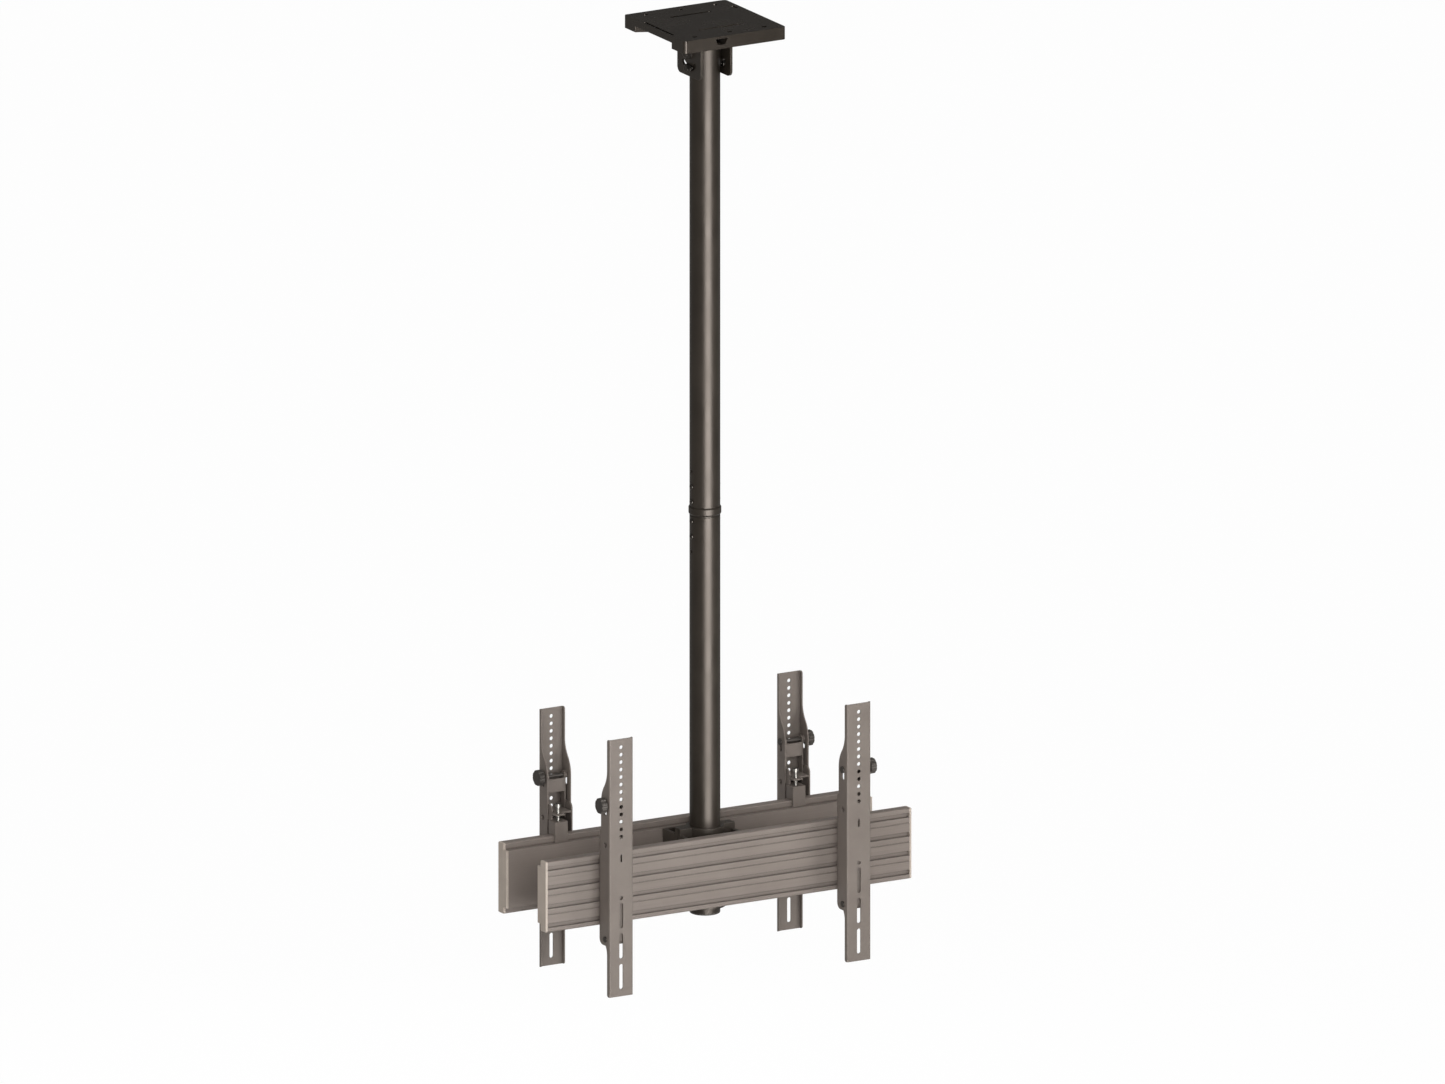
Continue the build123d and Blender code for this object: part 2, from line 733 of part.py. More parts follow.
def make_stay():
    length = knob_level - stay_pin_level
    outline = SlotCenterToCenter(length, 2 * stay_end_radius, rotation=90)
    middle = (knob_level + stay_pin_level) / 2
    stay = x_prism(outline, -stay_half, stay_half, hinge_y, middle)
    reach = length + 2 * stay_end_radius
    inside = (-stay_inner_half, stay_inner_half)
    stay -= box(inside, (hinge_y - reach, hinge_y + reach), (middle - reach, middle + reach))
    bridge_top = knob_level - stay_bridge_below_knob
    bridge_y = hinge_y - stay_end_radius
    stay += box(
        (-stay_half, stay_half),
        (bridge_y, bridge_y + stay_sheet),
        (bridge_top - stay_bridge_height, bridge_top),
    )
    bush_end = strip_inner_half - bush_gap
    stay += x_rod(bush_radius, stay_half, bush_end, hinge_y, knob_level)
    stay += x_rod(bush_radius, -bush_end, -stay_half, hinge_y, knob_level)
    stay -= x_rod(stud_radius + running_clearance, -bush_end, bush_end, hinge_y, knob_level)
    stay -= x_rod(pin_radius + running_clearance, -stay_half, stay_half, hinge_y, stay_pin_level)
    return stay


def make_knob():
    seat = strip_half + knob_gap
    body_start = seat + knob_neck_length
    body_end = body_start + knob_length
    body = x_rod(knob_radius, body_start, body_end, 0, 0)
    body = fillet(body.edges().filter_by(GeomType.CIRCLE), knob_edge_radius)
    groove_distance = knob_radius + knob_lobe_radius - knob_lobe_depth
    groove = x_rod(knob_lobe_radius, body_start, body_end, groove_distance, 0)
    for lobe in range(knob_lobes):
        body -= Rot(360 / knob_lobes * lobe, 0, 0) * groove
    knob = body + x_rod(knob_neck_radius, seat, body_start, 0, 0)
    knob += x_rod(stud_radius, -seat, seat, 0, 0)
    knob += x_rod(stud_head_radius, -seat - stud_head_height, -seat, 0, 0)
    return Pos(0, hinge_y, knob_level) * knob


def make_pins():
    head_start = strip_half + pin_head_gap
    head_end = head_start + pin_head_height
    hinge_pin = x_rod(pin_radius, -head_end, head_end, hinge_y, hinge_level)
    for start in (-head_end, head_start):
        hinge_pin += x_rod(pin_head_radius, start, start + pin_head_height, hinge_y, hinge_level)
    stay_pin = x_rod(pin_radius, -bracket_half, bracket_half, hinge_y, stay_pin_level)
    return [hinge_pin, stay_pin]


def group(solids):
    return Compound(children=list(solids))


def place(shape, side, end, x=0.0):
    placed = Pos(x, 0, 0) * shape
    if side < 0:
        placed = mirror(placed, about=Plane.YZ)
    if end < 0:
        placed = mirror(placed, about=Plane.XZ)
    return placed


def make_nodes():
    nodes = {}
    nodes["ceiling_plate"] = make_ceiling_plate()
    nodes["tilt_bracket"] = make_tilt_bracket()
    bolt, fittings = make_cross_bolt(pivot_radius, pivot_level, 0.0)
    nodes["pivot_bolt"] = bolt
    nodes["pivot_nut_and_washers"] = group(fittings)
    bolt, fittings = make_cross_bolt(lock_radius, lock_level, running_clearance)
    nodes["lock_bolt"] = bolt
    nodes["lock_nut_and_washers"] = group(fittings)

    nodes["upper_pole"] = make_upper_pole()
    nodes["joint_sleeve"] = make_joint_sleeve()
    nodes["joint_screws"] = group(make_joint_screws())
    nodes["lower_pole"] = make_pole(pole_bottom + end_ring_flange, joint_level - ring_half_height)
    nodes["pole_end_ring"] = make_end_ring()
    nodes["support_collar"], nodes["collar_screw"] = make_collar()

    clamp_half = make_clamp_half()
    nodes["rear_clamp_half"] = clamp_half
    nodes["front_clamp_half"] = mirror(clamp_half, about=Plane.XZ)
    bolts, nuts = make_clamp_bolts()
    nodes["clamp_bolts"] = group(bolts)
    nodes["clamp_nuts"] = group(nuts)
    nodes["rail_screws"] = group(make_rail_screws())
    rail = make_rail()
    nodes["rear_rail"] = rail
    nodes["front_rail"] = mirror(rail, about=Plane.XZ)

    cap = make_end_cap()
    pins = make_pins()
    arm_pieces = {
        "screen_strip": make_strip(),
        "tilt_stay": make_stay(),
        "tilt_knob": make_knob(),
    }
    # The four arms are alike, so the hooks of the rear ones lie towards -X and of the front ones towards +X
    hook_pieces = {}
    for turn in (-1, 1):
        hook_x = -turn * hook_offset
        hook_pieces[turn] = {
            "hook_bracket": make_hook_bracket(hook_x),
            "rail_saddle": make_saddle(hook_x),
            "levelling_screw": make_level_screw(hook_x),
        }
    for end_name, end in (("front", -1), ("rear", 1)):
        for side_name, side in (("left", -1), ("right", 1)):
            name = f"{end_name}_{side_name}"
            nodes[f"{name}_end_cap"] = place(cap, side, end)
            pieces = {**arm_pieces, **hook_pieces[side * end]}
            for piece, shape in pieces.items():
                nodes[f"{name}_{piece}"] = place(shape, side, end, arm_x)
            nodes[f"{name}_hinge_pins"] = group([place(pin, side, end, arm_x) for pin in pins])
    return nodes


os.makedirs("parts", exist_ok=True)
for node_name, node_shape in make_nodes().items():
    export_step(node_shape, f"parts/{node_name}.step")
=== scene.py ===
import math

import bmesh
import bpy
from mathutils import Matrix, Vector


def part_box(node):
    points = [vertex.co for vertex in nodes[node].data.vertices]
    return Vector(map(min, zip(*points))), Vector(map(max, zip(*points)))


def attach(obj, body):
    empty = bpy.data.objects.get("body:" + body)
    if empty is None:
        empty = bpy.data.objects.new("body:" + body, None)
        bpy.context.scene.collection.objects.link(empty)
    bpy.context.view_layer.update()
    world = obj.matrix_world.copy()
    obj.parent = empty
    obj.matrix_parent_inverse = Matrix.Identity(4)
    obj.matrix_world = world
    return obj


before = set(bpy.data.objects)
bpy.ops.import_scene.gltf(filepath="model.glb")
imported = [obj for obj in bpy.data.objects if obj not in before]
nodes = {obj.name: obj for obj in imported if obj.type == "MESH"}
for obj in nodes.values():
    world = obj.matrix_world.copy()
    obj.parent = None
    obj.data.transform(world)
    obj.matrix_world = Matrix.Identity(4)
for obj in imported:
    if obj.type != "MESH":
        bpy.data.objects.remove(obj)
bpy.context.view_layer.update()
armNames = ["front_left", "front_right", "rear_left", "rear_right"]
print("frame loaded,", len(nodes), "nodes")

scene = bpy.context.scene
scene.view_settings.view_transform = "Standard"


# camera: no perspective, from the left of the front and a little above
cameraSet = {
    "azimuth": -30.0,
    "elevation": 15.0,
    "frameWidth": 2.338,       # metres across the 1445 x 1084 picture
    "rightOfPole": 0.0285,
    "belowPlate": 0.8435,
    "distance": 7.0,
    "clipEnd": 100.0,
}


def addCamera(s):
    a = math.radians(s["azimuth"])
    e = math.radians(s["elevation"])
    back = Vector((math.sin(a) * math.cos(e), -math.cos(a) * math.cos(e), math.sin(e)))
    right = Vector((math.cos(a), math.sin(a), 0.0))
    up = back.cross(right)
    target = right * s["rightOfPole"] - up * s["belowPlate"]
    data = bpy.data.cameras.new("photoCamera")
    data.type = "ORTHO"
    data.ortho_scale = s["frameWidth"]
    data.clip_end = s["clipEnd"]
    camera = bpy.data.objects.new("photoCamera", data)
    camera.matrix_world = Matrix.Translation(target + back * s["distance"]) @ Matrix(
        (right, up, back)).transposed().to_4x4()
    scene.collection.objects.link(camera)
    scene.camera = camera


addCamera(cameraSet)
print("camera set")


# node helpers
def newNode(tree, kind, **values):
    node = tree.nodes.new(kind)
    for key, value in values.items():
        setattr(node, key, value)
    return node


def setInputs(node, values):
    for key, value in values.items():
        node.inputs[key].default_value = value


def math2(tree, operation, a, b, clamp=False):
    node = newNode(tree, "ShaderNodeMath", operation=operation, use_clamp=clamp)
    for index, value in enumerate((a, b)):
        if isinstance(value, (int, float)):
            node.inputs[index].default_value = value
        else:
            tree.links.new(value, node.inputs[index])
    return node.outputs[0]


def remap(tree, value, fromLow, fromHigh, toLow, toHigh):
    node = newNode(tree, "ShaderNodeMapRange")
    setInputs(node, {"From Min": fromLow, "From Max": fromHigh, "To Min": toLow, "To Max": toHigh})
    tree.links.new(value, node.inputs["Value"])
    return node.outputs["Result"]


def newGroup(name, inputs, outputs):
    group = bpy.data.node_groups.new(name, "ShaderNodeTree")
    for socketName, kind, default in inputs:
        socket = group.interface.new_socket(socketName, in_out="INPUT", socket_type=kind)
        socket.default_value = default
    for socketName, kind in outputs:
        group.interface.new_socket(socketName, in_out="OUTPUT", socket_type=kind)
    return group, group.nodes.new("NodeGroupInput"), group.nodes.new("NodeGroupOutput")


# powder coat: a fine orange peel, with slow changes of tone over the sheet
coatGrainSet = {"glossRange": (0.3, 0.7), "toneRange": (0.35, 0.65), "cloudShare": 0.7, "peelShare": 0.3}


def makeCoatGrain(s):
    group, given, out = newGroup(
        "coatGrain",
        [("Grain Size", "NodeSocketFloat", 0.0009), ("Cloud Size", "NodeSocketFloat", 0.06)],
        [("Height", "NodeSocketFloat"), ("Gloss", "NodeSocketFloat"), ("Tone", "NodeSocketFloat")],
    )
    place = newNode(group, "ShaderNodeTexCoord").outputs["Object"]
    peel = newNode(group, "ShaderNodeTexNoise")
    setInputs(peel, {"Detail": 2.0, "Roughness": 0.55})
    group.links.new(place, peel.inputs["Vector"])
    group.links.new(math2(group, "DIVIDE", 1.0, given.outputs["Grain Size"]), peel.inputs["Scale"])
    cloud = newNode(group, "ShaderNodeTexNoise")
    setInputs(cloud, {"Detail": 4.0, "Roughness": 0.6, "Distortion": 0.4})
    group.links.new(place, cloud.inputs["Vector"])
    group.links.new(math2(group, "DIVIDE", 1.0, given.outputs["Cloud Size"]), cloud.inputs["Scale"])
    group.links.new(peel.outputs["Fac"], out.inputs["Height"])
    gloss = remap(group, cloud.outputs["Fac"], *s["glossRange"], 0.0, 1.0)
    group.links.new(gloss, out.inputs["Gloss"])
    mixed = math2(group, "ADD", math2(group, "MULTIPLY", cloud.outputs["Fac"], s["cloudShare"]),
                  math2(group, "MULTIPLY", peel.outputs["Fac"], s["peelShare"]))
    group.links.new(remap(group, mixed, *s["toneRange"], 0.0, 1.0), out.inputs["Tone"])
    return group


# edges: a rounded normal, and a broken mask that lightens them, partly rubbed coat and partly painted
# highlight
edgeWearAndHighlightSet = {"samples": 4, "turnRange": (0.02, 0.22), "rubRange": (0.35, 0.62), "rubLeast": 0.25}


def makeEdgeWearAndHighlight(s):
    group, given, out = newGroup(
        "edgeWearAndHighlight",
        [("Radius", "NodeSocketFloat", 0.0006), ("Amount", "NodeSocketFloat", 0.5)],
        [("Mask", "NodeSocketFloat"), ("Normal", "NodeSocketVector")],
    )
    bevel = newNode(group, "ShaderNodeBevel", samples=s["samples"])
    group.links.new(given.outputs["Radius"], bevel.inputs["Radius"])
    face = newNode(group, "ShaderNodeNewGeometry").outputs["Normal"]
    same = newNode(group, "ShaderNodeVectorMath", operation="DOT_PRODUCT")
    group.links.new(bevel.outputs["Normal"], same.inputs[0])
    group.links.new(face, same.inputs[1])
    turned = math2(group, "SUBTRACT", 1.0, same.outputs["Value"], clamp=True)
    rub = newNode(group, "ShaderNodeTexNoise")
    setInputs(rub, {"Scale": 140.0, "Detail": 4.0, "Roughness": 0.65})
    group.links.new(newNode(group, "ShaderNodeTexCoord").outputs["Object"], rub.inputs["Vector"])
    broken = remap(group, rub.outputs["Fac"], *s["rubRange"], s["rubLeast"], 1.0)
    line = remap(group, turned, *s["turnRange"], 0.0, 1.0)
    wornAndLit = math2(group, "MULTIPLY", line, broken)
    mask = math2(group, "MULTIPLY", wornAndLit, given.outputs["Amount"], clamp=True)
    group.links.new(mask, out.inputs["Mask"])
    group.links.new(bevel.outputs["Normal"], out.inputs["Normal"])
    return group


# dust: settles on what faces up, in thin patches
dustSet = {
    "colour": (0.30, 0.28, 0.25), "rough": 0.3, "patch": 0.025,
    "upRange": (0.55, 0.95), "patchRange": (0.38, 0.7), "patchLeast": 0.15,
}


def makeDustFilm(s):
    group, given, out = newGroup(
        "dustFilm",
        [("Amount", "NodeSocketFloat", 0.3), ("Patch Size", "NodeSocketFloat", s["patch"])],
        [("Mask", "NodeSocketFloat")],
    )
    split = newNode(group, "ShaderNodeSeparateXYZ")
    group.links.new(newNode(group, "ShaderNodeTexCoord").outputs["Normal"], split.inputs["Vector"])
    facingUp = remap(group, split.outputs["Z"], *s["upRange"], 0.0, 1.0)
    patch = newNode(group, "ShaderNodeTexNoise")
    setInputs(patch, {"Detail": 6.0, "Roughness": 0.7})
    group.links.new(newNode(group, "ShaderNodeTexCoord").outputs["Object"], patch.inputs["Vector"])
    group.links.new(math2(group, "DIVIDE", 1.0, given.outputs["Patch Size"]), patch.inputs["Scale"])
    spread = remap(group, patch.outputs["Fac"], *s["patchRange"], s["patchLeast"], 1.0)
    settled = math2(group, "MULTIPLY", facingUp, spread)
    mask = math2(group, "MULTIPLY", settled, given.outputs["Amount"], clamp=True)
    group.links.new(mask, out.inputs["Mask"])
    return group


# lines: drawn or turned marks, long one way and fine across it
toolLinesSet = {"toneRange": (0.35, 0.65)}


def makeToolLines(s):
    group, given, out = newGroup(
        "toolLines",
        [("Stretch", "NodeSocketVector", (4.0, 900.0, 900.0))],
        [("Height", "NodeSocketFloat"), ("Tone", "NodeSocketFloat")],
    )
    scaled = newNode(group, "ShaderNodeVectorMath", operation="MULTIPLY")
    group.links.new(newNode(group, "ShaderNodeTexCoord").outputs["Object"], scaled.inputs[0])
    group.links.new(given.outputs["Stretch"], scaled.inputs[1])
    lines = newNode(group, "ShaderNodeTexNoise")
    setInputs(lines, {"Scale": 1.0, "Detail": 5.0, "Roughness": 0.6})
    group.links.new(scaled.outputs["Vector"], lines.inputs["Vector"])
    group.links.new(lines.outputs["Fac"], out.inputs["Height"])
    tone = remap(group, lines.outputs["Fac"], *s["toneRange"], 0.0, 1.0)
    group.links.new(tone, out.inputs["Tone"])
    return group


# thread: ridges that climb round an upright axis, only between two levels, with painted shade in the
# grooves
screwThreadSet = {"grooveRange": (0.0, 0.22)}


def makeScrewThread(s):
    group, given, out = newGroup(
        "screwThread",
        [("Axis", "NodeSocketVector", (0.0, 0.0, 0.0)), ("Pitch", "NodeSocketFloat", 0.001),
         ("Lower", "NodeSocketFloat", -1.0), ("Upper", "NodeSocketFloat", 0.0)],
        [("Height", "NodeSocketFloat"), ("GrooveShade", "NodeSocketFloat")],
    )
    away = newNode(group, "ShaderNodeVectorMath", operation="SUBTRACT")
    group.links.new(newNode(group, "ShaderNodeTexCoord").outputs["Object"], away.inputs[0])
    group.links.new(given.outputs["Axis"], away.inputs[1])
    split = newNode(group, "ShaderNodeSeparateXYZ")
    group.links.new(away.outputs["Vector"], split.inputs["Vector"])
    angle = math2(group, "ARCTAN2", split.outputs["Y"], split.outputs["X"])
    turn = math2(group, "DIVIDE", angle, 2 * math.pi)
    climb = math2(group, "DIVIDE", split.outputs["Z"], given.outputs["Pitch"])
    ridge = math2(group, "PINGPONG", math2(group, "SUBTRACT", climb, turn), 0.5)
    above = math2(group, "GREATER_THAN", split.outputs["Z"], given.outputs["Lower"])
    below = math2(group, "LESS_THAN", split.outputs["Z"], given.outputs["Upper"])
    inside = math2(group, "MULTIPLY", above, below)
    group.links.new(math2(group, "MULTIPLY", ridge, inside), out.inputs["Height"])
    deep = remap(group, ridge, *s["grooveRange"], 1.0, 0.0)
    group.links.new(math2(group, "MULTIPLY", deep, inside), out.inputs["GrooveShade"])
    return group


# painted shade: darkens narrow grooves and inside corners of the piece itself, where shade falls
paintedCornerShadeSet = {"samples": 6, "openRange": (0.45, 0.92)}


def makePaintedCornerShade(s):
    group, given, out = newGroup(
        "paintedCornerShade",
        [("Reach", "NodeSocketFloat", 0.004), ("Amount", "NodeSocketFloat", 0.6)],
        [("Mask", "NodeSocketFloat")],
    )
    closed = newNode(group, "ShaderNodeAmbientOcclusion", samples=s["samples"], only_local=True)
    group.links.new(given.outputs["Reach"], closed.inputs["Distance"])
    deep = remap(group, closed.outputs["AO"], *s["openRange"], 1.0, 0.0)
    mask = math2(group, "MULTIPLY", deep, given.outputs["Amount"], clamp=True)
    group.links.new(mask, out.inputs["Mask"])
    return group


# room: one inside a box, nothing outside it
def makeBoxRoom():
    group, given, out = newGroup(
        "boxRoom",
        [("Low", "NodeSocketVector", (-1.0, -1.0, -1.0)),
         ("High", "NodeSocketVector", (1.0, 1.0, 1.0))],
        [("Mask", "NodeSocketFloat")],
    )
    place = newNode(group, "ShaderNodeTexCoord").outputs["Object"]
    mask = None
    for socketName, above in (("Low", True), ("High", False)):
        apart = newNode(group, "ShaderNodeVectorMath", operation="SUBTRACT")
        ends = (place, given.outputs[socketName]) if above else (given.outputs[socketName], place)
        group.links.new(ends[0], apart.inputs[0])
        group.links.new(ends[1], apart.inputs[1])
        split = newNode(group, "ShaderNodeSeparateXYZ")
        group.links.new(apart.outputs["Vector"], split.inputs["Vector"])
        for letter in "XYZ":
            step = math2(group, "GREATER_THAN", split.outputs[letter], 0.0)
            mask = step if mask is None else math2(group, "MULTIPLY", mask, step)
    group.links.new(mask, out.inputs["Mask"])
    return group


coatGrain = makeCoatGrain(coatGrainSet)
edgeWearAndHighlight = makeEdgeWearAndHighlight(edgeWearAndHighlightSet)
dustFilm = makeDustFilm(dustSet)
toolLines = makeToolLines(toolLinesSet)
screwThread = makeScrewThread(screwThreadSet)
paintedCornerShade = makePaintedCornerShade(paintedCornerShadeSet)
boxRoom = makeBoxRoom()
print("shared node groups made")


def useGroup(tree, group, values):
    node = newNode(tree, "ShaderNodeGroup", node_tree=group)
    setInputs(node, values)
    return node


# the Mix node's colour sockets go by number, because their names repeat
def mixColour(tree, mask, first, second):
    node = newNode(tree, "ShaderNodeMix", data_type="RGBA")
    tree.links.new(mask, node.inputs[0])
    for socket, value in ((node.inputs[6], first), (node.inputs[7], second)):
        if isinstance(value, tuple):
            socket.default_value = (*value, 1.0)
        else:
            tree.links.new(value, socket)
    return node.outputs[2]


bumpDistance = 0.001


# one builder for the finishes, each with its own dictionary
def makeFinish(name, f):
    material = bpy.data.materials.new(name)
    material.use_nodes = True
    tree = material.node_tree
    shader = tree.nodes["Principled BSDF"]
    setInputs(shader, {"Metallic": f["metallic"], "Specular IOR Level": f["specular"]})
    shader.inputs["Specular Tint"].default_value = (*f["sheenTint"], 1.0)
    grain = useGroup(tree, coatGrain, {"Grain Size": f["grainSize"], "Cloud Size": f["cloudSize"]})
    colour = mixColour(tree, grain.outputs["Tone"], f["dark"], f["light"])
    height = math2(tree, "MULTIPLY", grain.outputs["Height"], f["grainDepth"])
    if "lines" in f:
        marks = useGroup(tree, toolLines, {"Stretch": f["lines"]})
        tone = math2(tree, "MULTIPLY", marks.outputs["Tone"], f["lineTone"])
        colour = mixColour(tree, tone, colour, f["lineColour"])
        depth = math2(tree, "MULTIPLY", marks.outputs["Height"], f["lineDepth"])
        height = math2(tree, "ADD", height, depth)
    if "thread" in f:
        thread = useGroup(tree, screwThread, f["thread"])
        # painted shade in the thread grooves
        colour = mixColour(tree, thread.outputs["GrooveShade"], colour, f["grooveShadeColour"])
        depth = math2(tree, "MULTIPLY", thread.outputs["Height"], f["threadDepth"])
        height = math2(tree, "ADD", height, depth)
    # painted shade, darker in grooves and inside corners
    if "paintedShade" in f:
        paintedShade = useGroup(tree, paintedCornerShade, {"Reach": f["paintedShadeReach"], "Amount": f["paintedShade"]})
        colour = mixColour(tree, paintedShade.outputs["Mask"], colour, f["paintedShadeColour"])
    # edges lightened: partly rubbed coat, partly painted highlight
    edge = useGroup(tree, edgeWearAndHighlight, {"Radius": f["edgeRadius"], "Amount": f["edgeAmount"]})
    colour = mixColour(tree, edge.outputs["Mask"], colour, f["edgeWearAndHighlightColour"])
    dust = useGroup(tree, dustFilm, {"Amount": f["dust"], "Patch Size": dustSet["patch"]})
    colour = mixColour(tree, dust.outputs["Mask"], colour, dustSet["colour"])
    tree.links.new(colour, shader.inputs["Base Color"])
    smoothest = f["rough"] - f["roughSpread"]
    roughest = f["rough"] + f["roughSpread"]
    rough = remap(tree, grain.outputs["Gloss"], 0.0, 1.0, smoothest, roughest)
    dusty = math2(tree, "MULTIPLY", dust.outputs["Mask"], dustSet["rough"])
    rough = math2(tree, "ADD", rough, dusty, clamp=True)
    if "tray" in f:
        room = useGroup(tree, boxRoom, {"Low": f["tray"]["low"], "High": f["tray"]["high"]})
        dry = math2(tree, "MULTIPLY", room.outputs["Mask"], f["trayRough"])
        rough = math2(tree, "ADD", rough, dry, clamp=True)
    tree.links.new(rough, shader.inputs["Roughness"])
    bump = newNode(tree, "ShaderNodeBump")
    setInputs(bump, {"Strength": f["bump"], "Distance": bumpDistance})
    tree.links.new(height, bump.inputs["Height"])
    tree.links.new(edge.outputs["Normal"], bump.inputs["Normal"])
    tree.links.new(bump.outputs["Normal"], shader.inputs["Normal"])
    return material


# edge colours: partly rubbed coat, partly painted highlight
blackCoatSet = {
    "dark": (0.0160, 0.0128, 0.0096), "light": (0.0217, 0.0175, 0.0132),
    "metallic": 0.0, "specular": 0.33, "sheenTint": (1.0, 0.88, 0.79), "rough": 0.38, "roughSpread": 0.05,
    "grainSize": 0.0010, "grainDepth": 0.025, "cloudSize": 0.07, "bump": 0.5,
    "edgeRadius": 0.0008, "edgeAmount": 0.45, "edgeWearAndHighlightColour": (0.11, 0.098, 0.086),
    "dust": 0.03,
}
# the plate's coat is smoother, and dry inside the tray
plateCoatSet = dict(
    blackCoatSet, rough=0.26, roughSpread=0.03, specular=0.32, dust=0.02,
    tray={"low": (-0.0945, -0.0975, -0.03), "high": (0.0945, 0.0975, -0.0031)}, trayRough=0.5,
)
greyCoatSet = {
    "dark": (0.125, 0.105, 0.092), "light": (0.146, 0.124, 0.108),
    "metallic": 0.0, "specular": 0.22, "sheenTint": (1.0, 0.93, 0.87), "rough": 0.45, "roughSpread": 0.05,
    "grainSize": 0.0008, "grainDepth": 0.03, "cloudSize": 0.05, "bump": 0.5,
    "edgeRadius": 0.0006, "edgeAmount": 0.5, "edgeWearAndHighlightColour": (0.36, 0.315, 0.275),
    # painted shade in grooves and inside corners
    "paintedShade": 0.55, "paintedShadeReach": 0.004, "paintedShadeColour": (0.045, 0.036, 0.030),
    "dust": 0.05,
}
railCoatSet = {
    "dark": (0.137, 0.114, 0.100), "light": (0.158, 0.133, 0.117),
    "metallic": 0.0, "specular": 0.28, "sheenTint": (1.0, 0.93, 0.87), "rough": 0.40, "roughSpread": 0.04,
    "grainSize": 0.0006, "grainDepth": 0.02, "cloudSize": 0.12, "bump": 0.5,
    "lines": (3.0, 1100.0, 1100.0), "lineTone": 0.35,
    "lineColour": (0.200, 0.169, 0.148), "lineDepth": 0.025,
    "edgeRadius": 0.0005, "edgeAmount": 0.5, "edgeWearAndHighlightColour": (0.36, 0.32, 0.28),
    # painted shade in grooves and inside corners
    "paintedShade": 0.85, "paintedShadeReach": 0.005, "paintedShadeColour": (0.035, 0.028, 0.023),
    "dust": 0.05,
}
clampCoatSet = {
    "dark": (0.026, 0.0212, 0.0167), "light": (0.035, 0.0288, 0.0229),
    "metallic": 0.0, "specular": 0.45, "sheenTint": (1.0, 0.90, 0.82), "rough": 0.40, "roughSpread": 0.05,
    "grainSize": 0.0007, "grainDepth": 0.08, "cloudSize": 0.05, "bump": 0.5,
    "lines": (900.0, 900.0, 6.0), "lineTone": 0.3,
    "lineColour": (0.044, 0.0364, 0.0299), "lineDepth": 0.06,
    "edgeRadius": 0.0007, "edgeAmount": 0.5, "edgeWearAndHighlightColour": (0.20, 0.18, 0.16),
    "dust": 0.04,
}
zincSteelSet = {
    "dark": (0.25, 0.24, 0.22), "light": (0.33, 0.315, 0.29),
    "metallic": 1.0, "specular": 0.5, "sheenTint": (1.0, 1.0, 1.0), "rough": 0.34, "roughSpread": 0.08,
    "grainSize": 0.0007, "grainDepth": 0.04, "cloudSize": 0.012, "bump": 0.4,
    "edgeRadius": 0.0005, "edgeAmount": 0.5, "edgeWearAndHighlightColour": (0.50, 0.48, 0.45),
    "dust": 0.05,
}
blackSteelSet = {
    "dark": (0.040, 0.036, 0.032), "light": (0.075, 0.068, 0.061),
    "metallic": 0.85, "specular": 0.5, "sheenTint": (1.0, 0.94, 0.88), "rough": 0.36, "roughSpread": 0.07,
    "grainSize": 0.0006, "grainDepth": 0.05, "cloudSize": 0.010, "bump": 0.4,
    "edgeRadius": 0.0004, "edgeAmount": 0.7, "edgeWearAndHighlightColour": (0.30, 0.28, 0.26),
    "dust": 0.05,
}
blackPlasticSet = {
    "dark": (0.028, 0.0248, 0.0217), "light": (0.040, 0.0352, 0.0314),
    "metallic": 0.0, "specular": 0.4, "sheenTint": (1.0, 0.92, 0.85), "rough": 0.55, "roughSpread": 0.05,
    "grainSize": 0.0004, "grainDepth": 0.16, "cloudSize": 0.02, "bump": 0.5,
    "edgeRadius": 0.0006, "edgeAmount": 0.3, "edgeWearAndHighlightColour": (0.09, 0.082, 0.074),
    "dust": 0.10,
}
greyPlasticSet = {
    "dark": (0.325, 0.277, 0.235), "light": (0.370, 0.316, 0.270),
    "metallic": 0.0, "specular": 0.4, "sheenTint": (1.0, 0.94, 0.89), "rough": 0.5, "roughSpread": 0.05,
    "grainSize": 0.0004, "grainDepth": 0.14, "cloudSize": 0.03, "bump": 0.5,
    "edgeRadius": 0.0006, "edgeAmount": 0.3, "edgeWearAndHighlightColour": (0.40, 0.35, 0.31),
    "dust": 0.10,
}
finishes = {
    "black_coat": makeFinish("blackCoat", blackCoatSet),
    "plate_coat": makeFinish("plateCoat", plateCoatSet),
    "grey_coat": makeFinish("greyCoat", greyCoatSet),
    "coated_aluminium": makeFinish("railCoat", railCoatSet),
    "black_aluminium": makeFinish("clampCoat", clampCoatSet),
    "zinc_steel": makeFinish("zincSteel", zincSteelSet),
    "black_steel": makeFinish("blackSteel", blackSteelSet),
    "black_plastic": makeFinish("blackPlastic", blackPlasticSet),
    "grey_plastic": makeFinish("greyPlastic", greyPlasticSet),
}
print("finishes made:", ", ".join(finishes))


